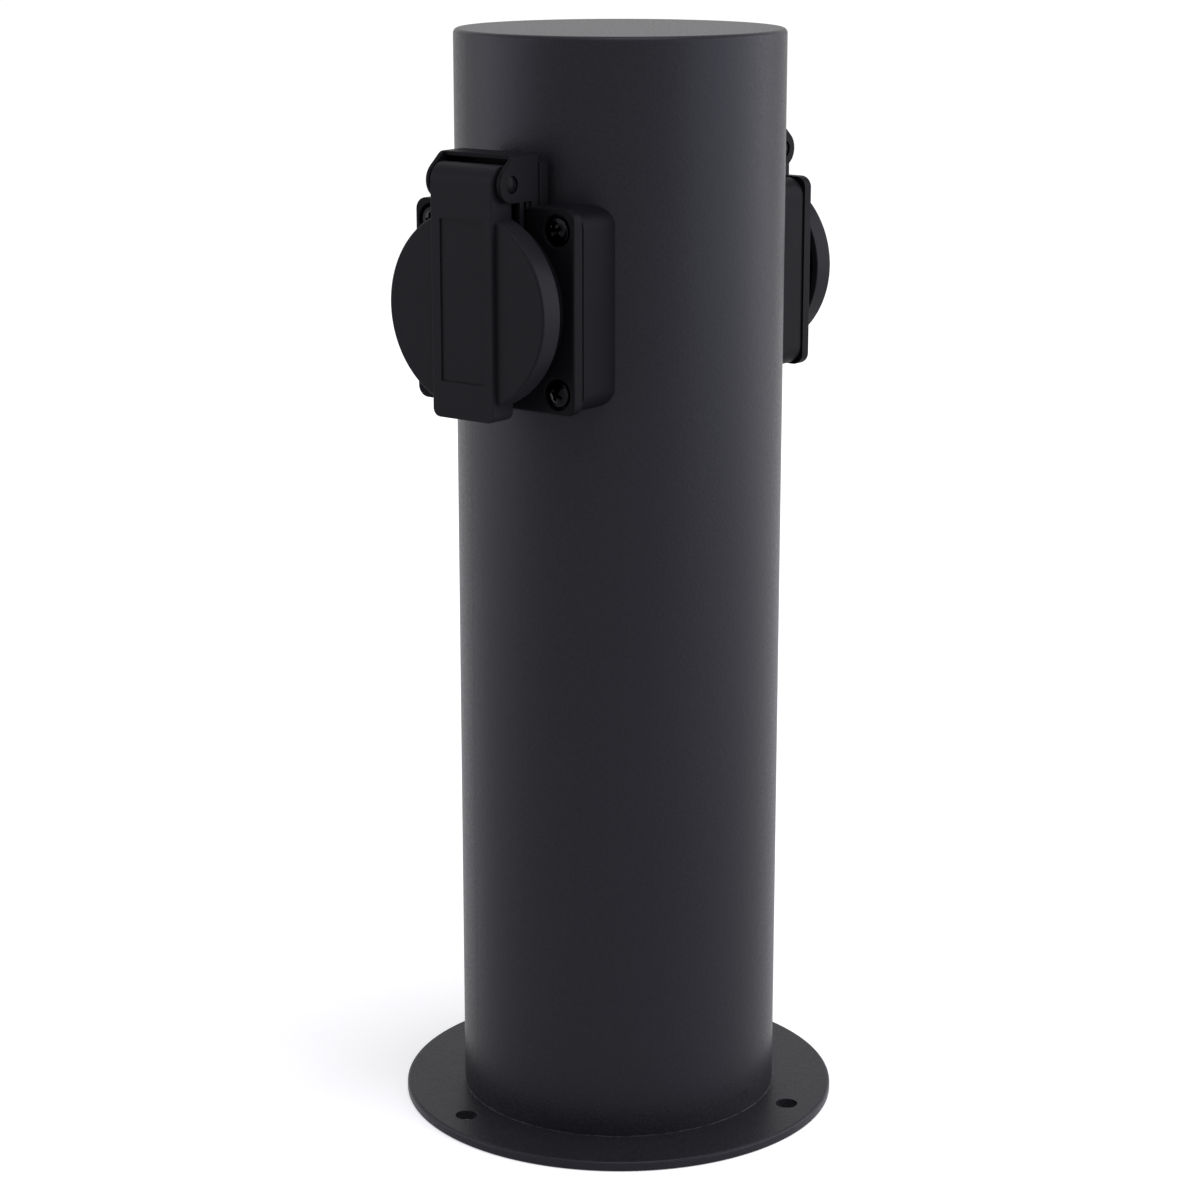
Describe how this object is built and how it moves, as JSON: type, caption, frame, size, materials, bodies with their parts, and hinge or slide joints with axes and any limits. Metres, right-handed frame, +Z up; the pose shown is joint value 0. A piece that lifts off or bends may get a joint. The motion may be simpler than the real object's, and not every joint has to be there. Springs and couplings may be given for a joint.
{
  "type": "garden socket post",
  "caption": "Round powder-coated ground post on a bolt-down foot plate, with earthed outdoor power sockets back to back near the top, each under a hinged spring lid.",
  "frame": {"origin": "middle of the foot plate's underside, on the ground", "axes": "+Z up along the post, the front socket faces -Y and the rear socket +Y"},
  "size_m": [0.11, 0.1188, 0.271],
  "materials": {
    "powder_coat": "fine textured anthracite powder coat",
    "black_plastic": "moulded, satin",
    "black_screw": "black, glossy",
    "seal_rubber": "matte",
    "spring_steel": "bright drawn wire",
    "insulator": "moulded, off-white",
    "brass": "turned",
    "earth_brass": "tinned strip",
    "zinc_steel": "zinc plated",
    "wire_brown": "extruded insulation",
    "wire_blue": "extruded insulation",
    "wire_green": "extruded insulation, green and yellow"
  },
  "bodies": {
    "post": {"post_tube": "powder_coat", "top_cap": "powder_coat", "base_plate": "powder_coat", "terminal_block": "insulator", "terminal_inserts": "brass", "terminal_block_screws": "zinc_steel", "block_bracket": "zinc_steel", "bracket_screws": "zinc_steel", "earth_stud": "zinc_steel", "earth_nut": "zinc_steel", "earth_lug": "earth_brass", "post_earth_wire": "wire_green", "front_saddle_block": "black_plastic", "front_flange_gasket": "seal_rubber", "front_socket_housing": "black_plastic", "front_flange_screws": "black_screw", "front_hinge_pin": "black_screw", "front_lid_spring": "spring_steel", "front_contact_carrier": "insulator", "front_line_contact": "brass", "front_neutral_contact": "brass", "front_earth_clip": "earth_brass", "front_terminal_screws": "zinc_steel", "front_line_wire": "wire_brown", "front_neutral_wire": "wire_blue", "front_earth_wire": "wire_green", "rear_saddle_block": "black_plastic", "rear_flange_gasket": "seal_rubber", "rear_socket_housing": "black_plastic", "rear_flange_screws": "black_screw", "rear_hinge_pin": "black_screw", "rear_lid_spring": "spring_steel", "rear_contact_carrier": "insulator", "rear_line_contact": "brass", "rear_neutral_contact": "brass", "rear_earth_clip": "earth_brass", "rear_terminal_screws": "zinc_steel", "rear_line_wire": "wire_brown", "rear_neutral_wire": "wire_blue", "rear_earth_wire": "wire_green"},
    "front_lid_body": {"front_lid": "black_plastic", "front_lid_gasket": "seal_rubber"},
    "rear_lid_body": {"rear_lid": "black_plastic", "rear_lid_gasket": "seal_rubber"}
  },
  "joints": [
    {"name": "front_lid_hinge", "type": "hinge", "parent": "post", "child": "front_lid_body", "pos_m": [0, -0.0544, 0.2387], "axis": [-1, 0, 0], "range_deg": [0, 110], "stiffness_Nm_per_rad": 0.006, "springref_deg": -40.11, "deforming": ["front_lid_spring"]},
    {"name": "rear_lid_hinge", "type": "hinge", "parent": "post", "child": "rear_lid_body", "pos_m": [0, 0.0544, 0.2387], "axis": [1, 0, 0], "range_deg": [0, 110], "stiffness_Nm_per_rad": 0.006, "springref_deg": -40.11, "deforming": ["rear_lid_spring"]}
  ]
}
